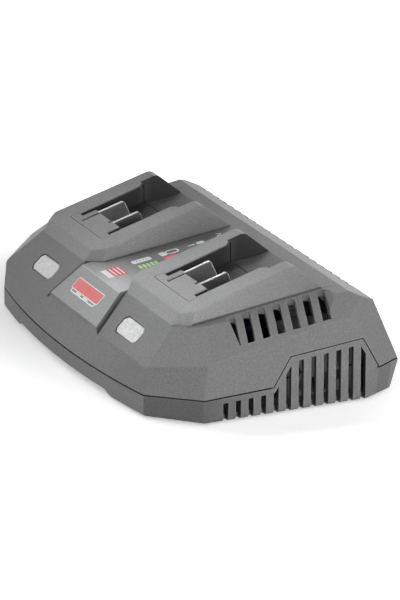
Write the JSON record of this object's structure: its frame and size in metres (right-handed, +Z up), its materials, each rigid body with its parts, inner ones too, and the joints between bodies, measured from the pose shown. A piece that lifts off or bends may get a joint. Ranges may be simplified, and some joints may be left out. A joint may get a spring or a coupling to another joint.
{
  "type": "power tool battery charger",
  "caption": "Desktop charger with raised sloping bays for slide-on battery packs, contact blades, indicator windows, side vents, a mains inlet and an internal fan.",
  "frame": {"origin": "middle of the width and depth, on the plane the rubber feet stand on", "axes": "+X to the right along the width, +Y from the front edge to the rear, +Z up"},
  "size_m": [0.2508, 0.1542, 0.0734],
  "materials": {
    "casing": "fine grained moulding",
    "terminal_plastic": "smooth moulding",
    "contact_metal": "bright plated strip",
    "lead_insulation": "soft sleeve",
    "lens_plastic": "milky translucent",
    "circuit_board": "lacquered laminate",
    "led_epoxy": "clear dome",
    "header_plastic": "natural moulding",
    "screw_steel": "zinc plated",
    "foot_rubber": "matt",
    "ferrite": "sintered",
    "winding_tape": "polyester tape",
    "capacitor_sleeve": "shrunk sleeve",
    "copper_wire": "enamelled",
    "sink_aluminium": "extruded",
    "transistor_resin": "moulded resin",
    "fuse_glass": "clear tube",
    "clip_brass": "plain strip",
    "inlet_plastic": "smooth moulding",
    "fan_plastic": "smooth moulding"
  },
  "bodies": {
    "housing": {"lower_shell": "casing", "upper_shell": "casing", "terminal_block_left": "terminal_plastic", "terminal_block_right": "terminal_plastic", "positive_blade_left": "contact_metal", "positive_blade_right": "contact_metal", "negative_blade_left": "contact_metal", "negative_blade_right": "contact_metal", "contact_leads_left": "lead_insulation", "contact_leads_right": "lead_insulation", "indicator_lens_left": "lens_plastic", "indicator_lens_right": "lens_plastic", "indicator_board_left": "circuit_board", "indicator_board_right": "circuit_board", "indicator_leds_left": "led_epoxy", "indicator_leds_right": "led_epoxy", "contact_headers": "header_plastic", "main_board": "circuit_board", "board_screws": "screw_steel", "block_screws": "screw_steel", "case_screws": "screw_steel", "rubber_feet": "foot_rubber", "transformer_core": "ferrite", "transformer_winding": "winding_tape", "bulk_capacitors": "capacitor_sleeve", "output_capacitors": "capacitor_sleeve", "mains_choke": "copper_wire", "primary_heat_sink": "sink_aluminium", "output_heat_sink": "sink_aluminium", "power_transistors": "transistor_resin", "fuse": "fuse_glass", "fuse_clips": "clip_brass", "mains_inlet": "inlet_plastic", "inlet_pins": "clip_brass", "mains_leads": "lead_insulation", "fan_frame": "fan_plastic", "fan_bearing": "clip_brass", "fan_stator": "copper_wire"},
    "fan_wheel": {"fan_rotor": "fan_plastic", "fan_magnet": "ferrite"}
  },
  "joints": [
    {"name": "fan_spin", "type": "hinge", "parent": "housing", "child": "fan_wheel", "pos_m": [0.1053, 0.02935, 0.0239], "axis": [1, 0, 0], "continuous": true}
  ]
}
